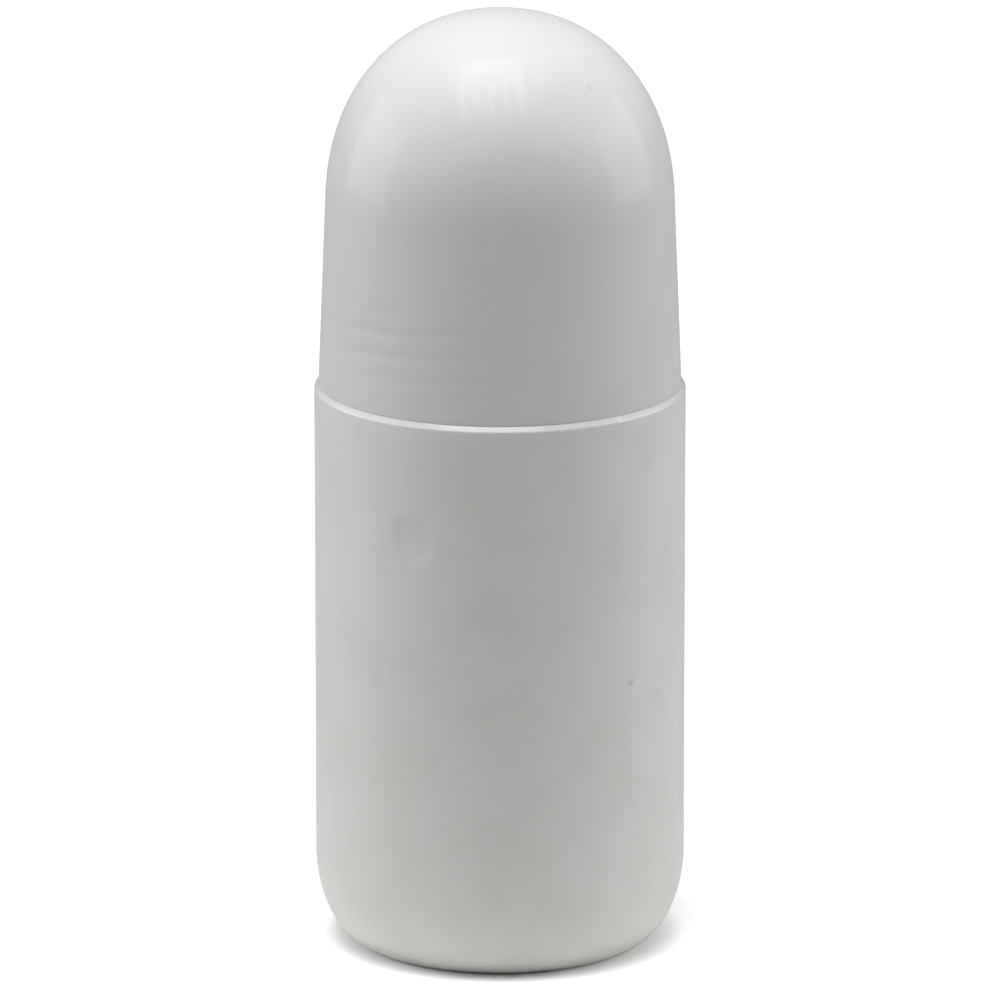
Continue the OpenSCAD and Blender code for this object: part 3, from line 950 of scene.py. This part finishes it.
def aimed(thing, place, target):        # turns a lamp or the camera to look at a point
    thing.location = place
    thing.rotation_euler = (Vector(target) - Vector(place)).to_track_quat("-Z", "Y").to_euler()
    bpy.context.scene.collection.objects.link(thing)
    return thing


def around(azimuth, elevation, distance, centre):       # azimuth 0 is in front, 90 to the right
    a, e = math.radians(azimuth), math.radians(elevation)
    way = Vector((math.sin(a) * math.cos(e), -math.cos(a) * math.cos(e), math.sin(e)))
    return Vector(centre) + distance * way


def makeLamp(name, place, target, width, height, power):
    lamp = bpy.data.lights.new(name, "AREA")
    lamp.shape = "RECTANGLE"
    lamp.size = width
    lamp.size_y = height
    lamp.energy = power
    made = aimed(bpy.data.objects.new(name, lamp), place, target)
    made.visible_camera = False
    return made


def makeLamps():
    centre = (0, 0, studio["aimHeight"])
    for name, (azimuth, elevation, distance, width, height, power) in panels.items():
        makeLamp(name, around(azimuth, elevation, distance, centre), centre, width, height, power)
    x, y, z = bars["place"]
    for number in range(bars["count"]):
        fromMiddle = number - (bars["count"] - 1) / 2
        across = x + fromMiddle * bars["pitch"]
        bar = makeLamp(f"bar{number}", (across, y, z), (across, y, 0), bars["width"], bars["length"],
                       bars["power"] / bars["count"])
        bar.rotation_euler.z += math.radians(bars["fan"]) * fromMiddle


def seenDirectly(start):        # 1 for the rays that show the floor or the air itself, less in a reflection
    camera = start.node("LightPath", output="Is Camera Ray")
    outputs = camera.socket.node.outputs
    glossy, through = [Wire(start.tree, outputs[name]) for name in ("Is Glossy Ray", "Is Transmission Ray")]
    return camera + through + studio["mirrored"] * glossy


def makeFloor():
    half = studio["floorSize"] / 2
    mesh = bpy.data.meshes.new("floor")
    corners = [(-half, -half, 0), (half, -half, 0), (half, half, 0), (-half, half, 0)]
    mesh.from_pydata(corners, [], [(0, 1, 2, 3)])
    floor = bpy.data.objects.new("floor", mesh)
    bpy.context.scene.collection.objects.link(floor)
    material = bpy.data.materials.new("floorPaper")
    material.use_nodes = True
    tree = material.node_tree
    tree.nodes.clear()
    start = Wire(tree)
    place = start.node("TexCoord", output="Object")
    away = start.node("VectorMath", {"operation": "LENGTH"}, {0: place}, output="Value")
    nearLevel, farLevel = studio["floorNear"], studio["floorFar"]
    level = nearLevel + (farLevel - nearLevel) * away.ease(*studio["floorReach"])
    nearBounce, farBounce = studio["bounceNear"], studio["bounceFar"]
    bounce = nearBounce + (farBounce - nearBounce) * away.ease(*studio["bounceReach"])
    seen = seenDirectly(start)
    level = bounce + (level - bounce) * seen
    tint = seen.mix(studio["bounceTint"], (1, 1, 1, 1))
    colour = tint.node("VectorMath", {"operation": "SCALE"}, {0: tint, "Scale": level})
    paper = start.node("BsdfDiffuse", None, {"Color": colour})
    out = tree.nodes.new("ShaderNodeOutputMaterial")
    tree.links.new(paper.socket, out.inputs["Surface"])
    mesh.materials.append(material)


def makeWorld():
    world = bpy.data.worlds.new("studioAir")
    bpy.context.scene.world = world
    world.use_nodes = True
    tree = world.node_tree
    background = tree.nodes["Background"]
    level = studio["worldLevel"]
    strength = level + (1 - level) * seenDirectly(Wire(tree))
    background.inputs["Color"].default_value = (1, 1, 1, 1)
    tree.links.new(strength.socket, background.inputs["Strength"])


def makeCamera():
    lens = bpy.data.cameras.new("camera")
    lens.lens = studio["lens"]
    lens.sensor_width = studio["sensor"]
    lens.clip_start, lens.clip_end = studio["clip"]
    centre = (0, 0, studio["aimHeight"])
    place = around(0, studio["cameraElevation"], studio["cameraDistance"], centre)
    bpy.context.scene.camera = aimed(bpy.data.objects.new("camera", lens), place, centre)


makeLamps()
makeFloor()
makeWorld()
makeCamera()
bpy.context.scene.view_settings.view_transform = "Standard"
print("studio made")
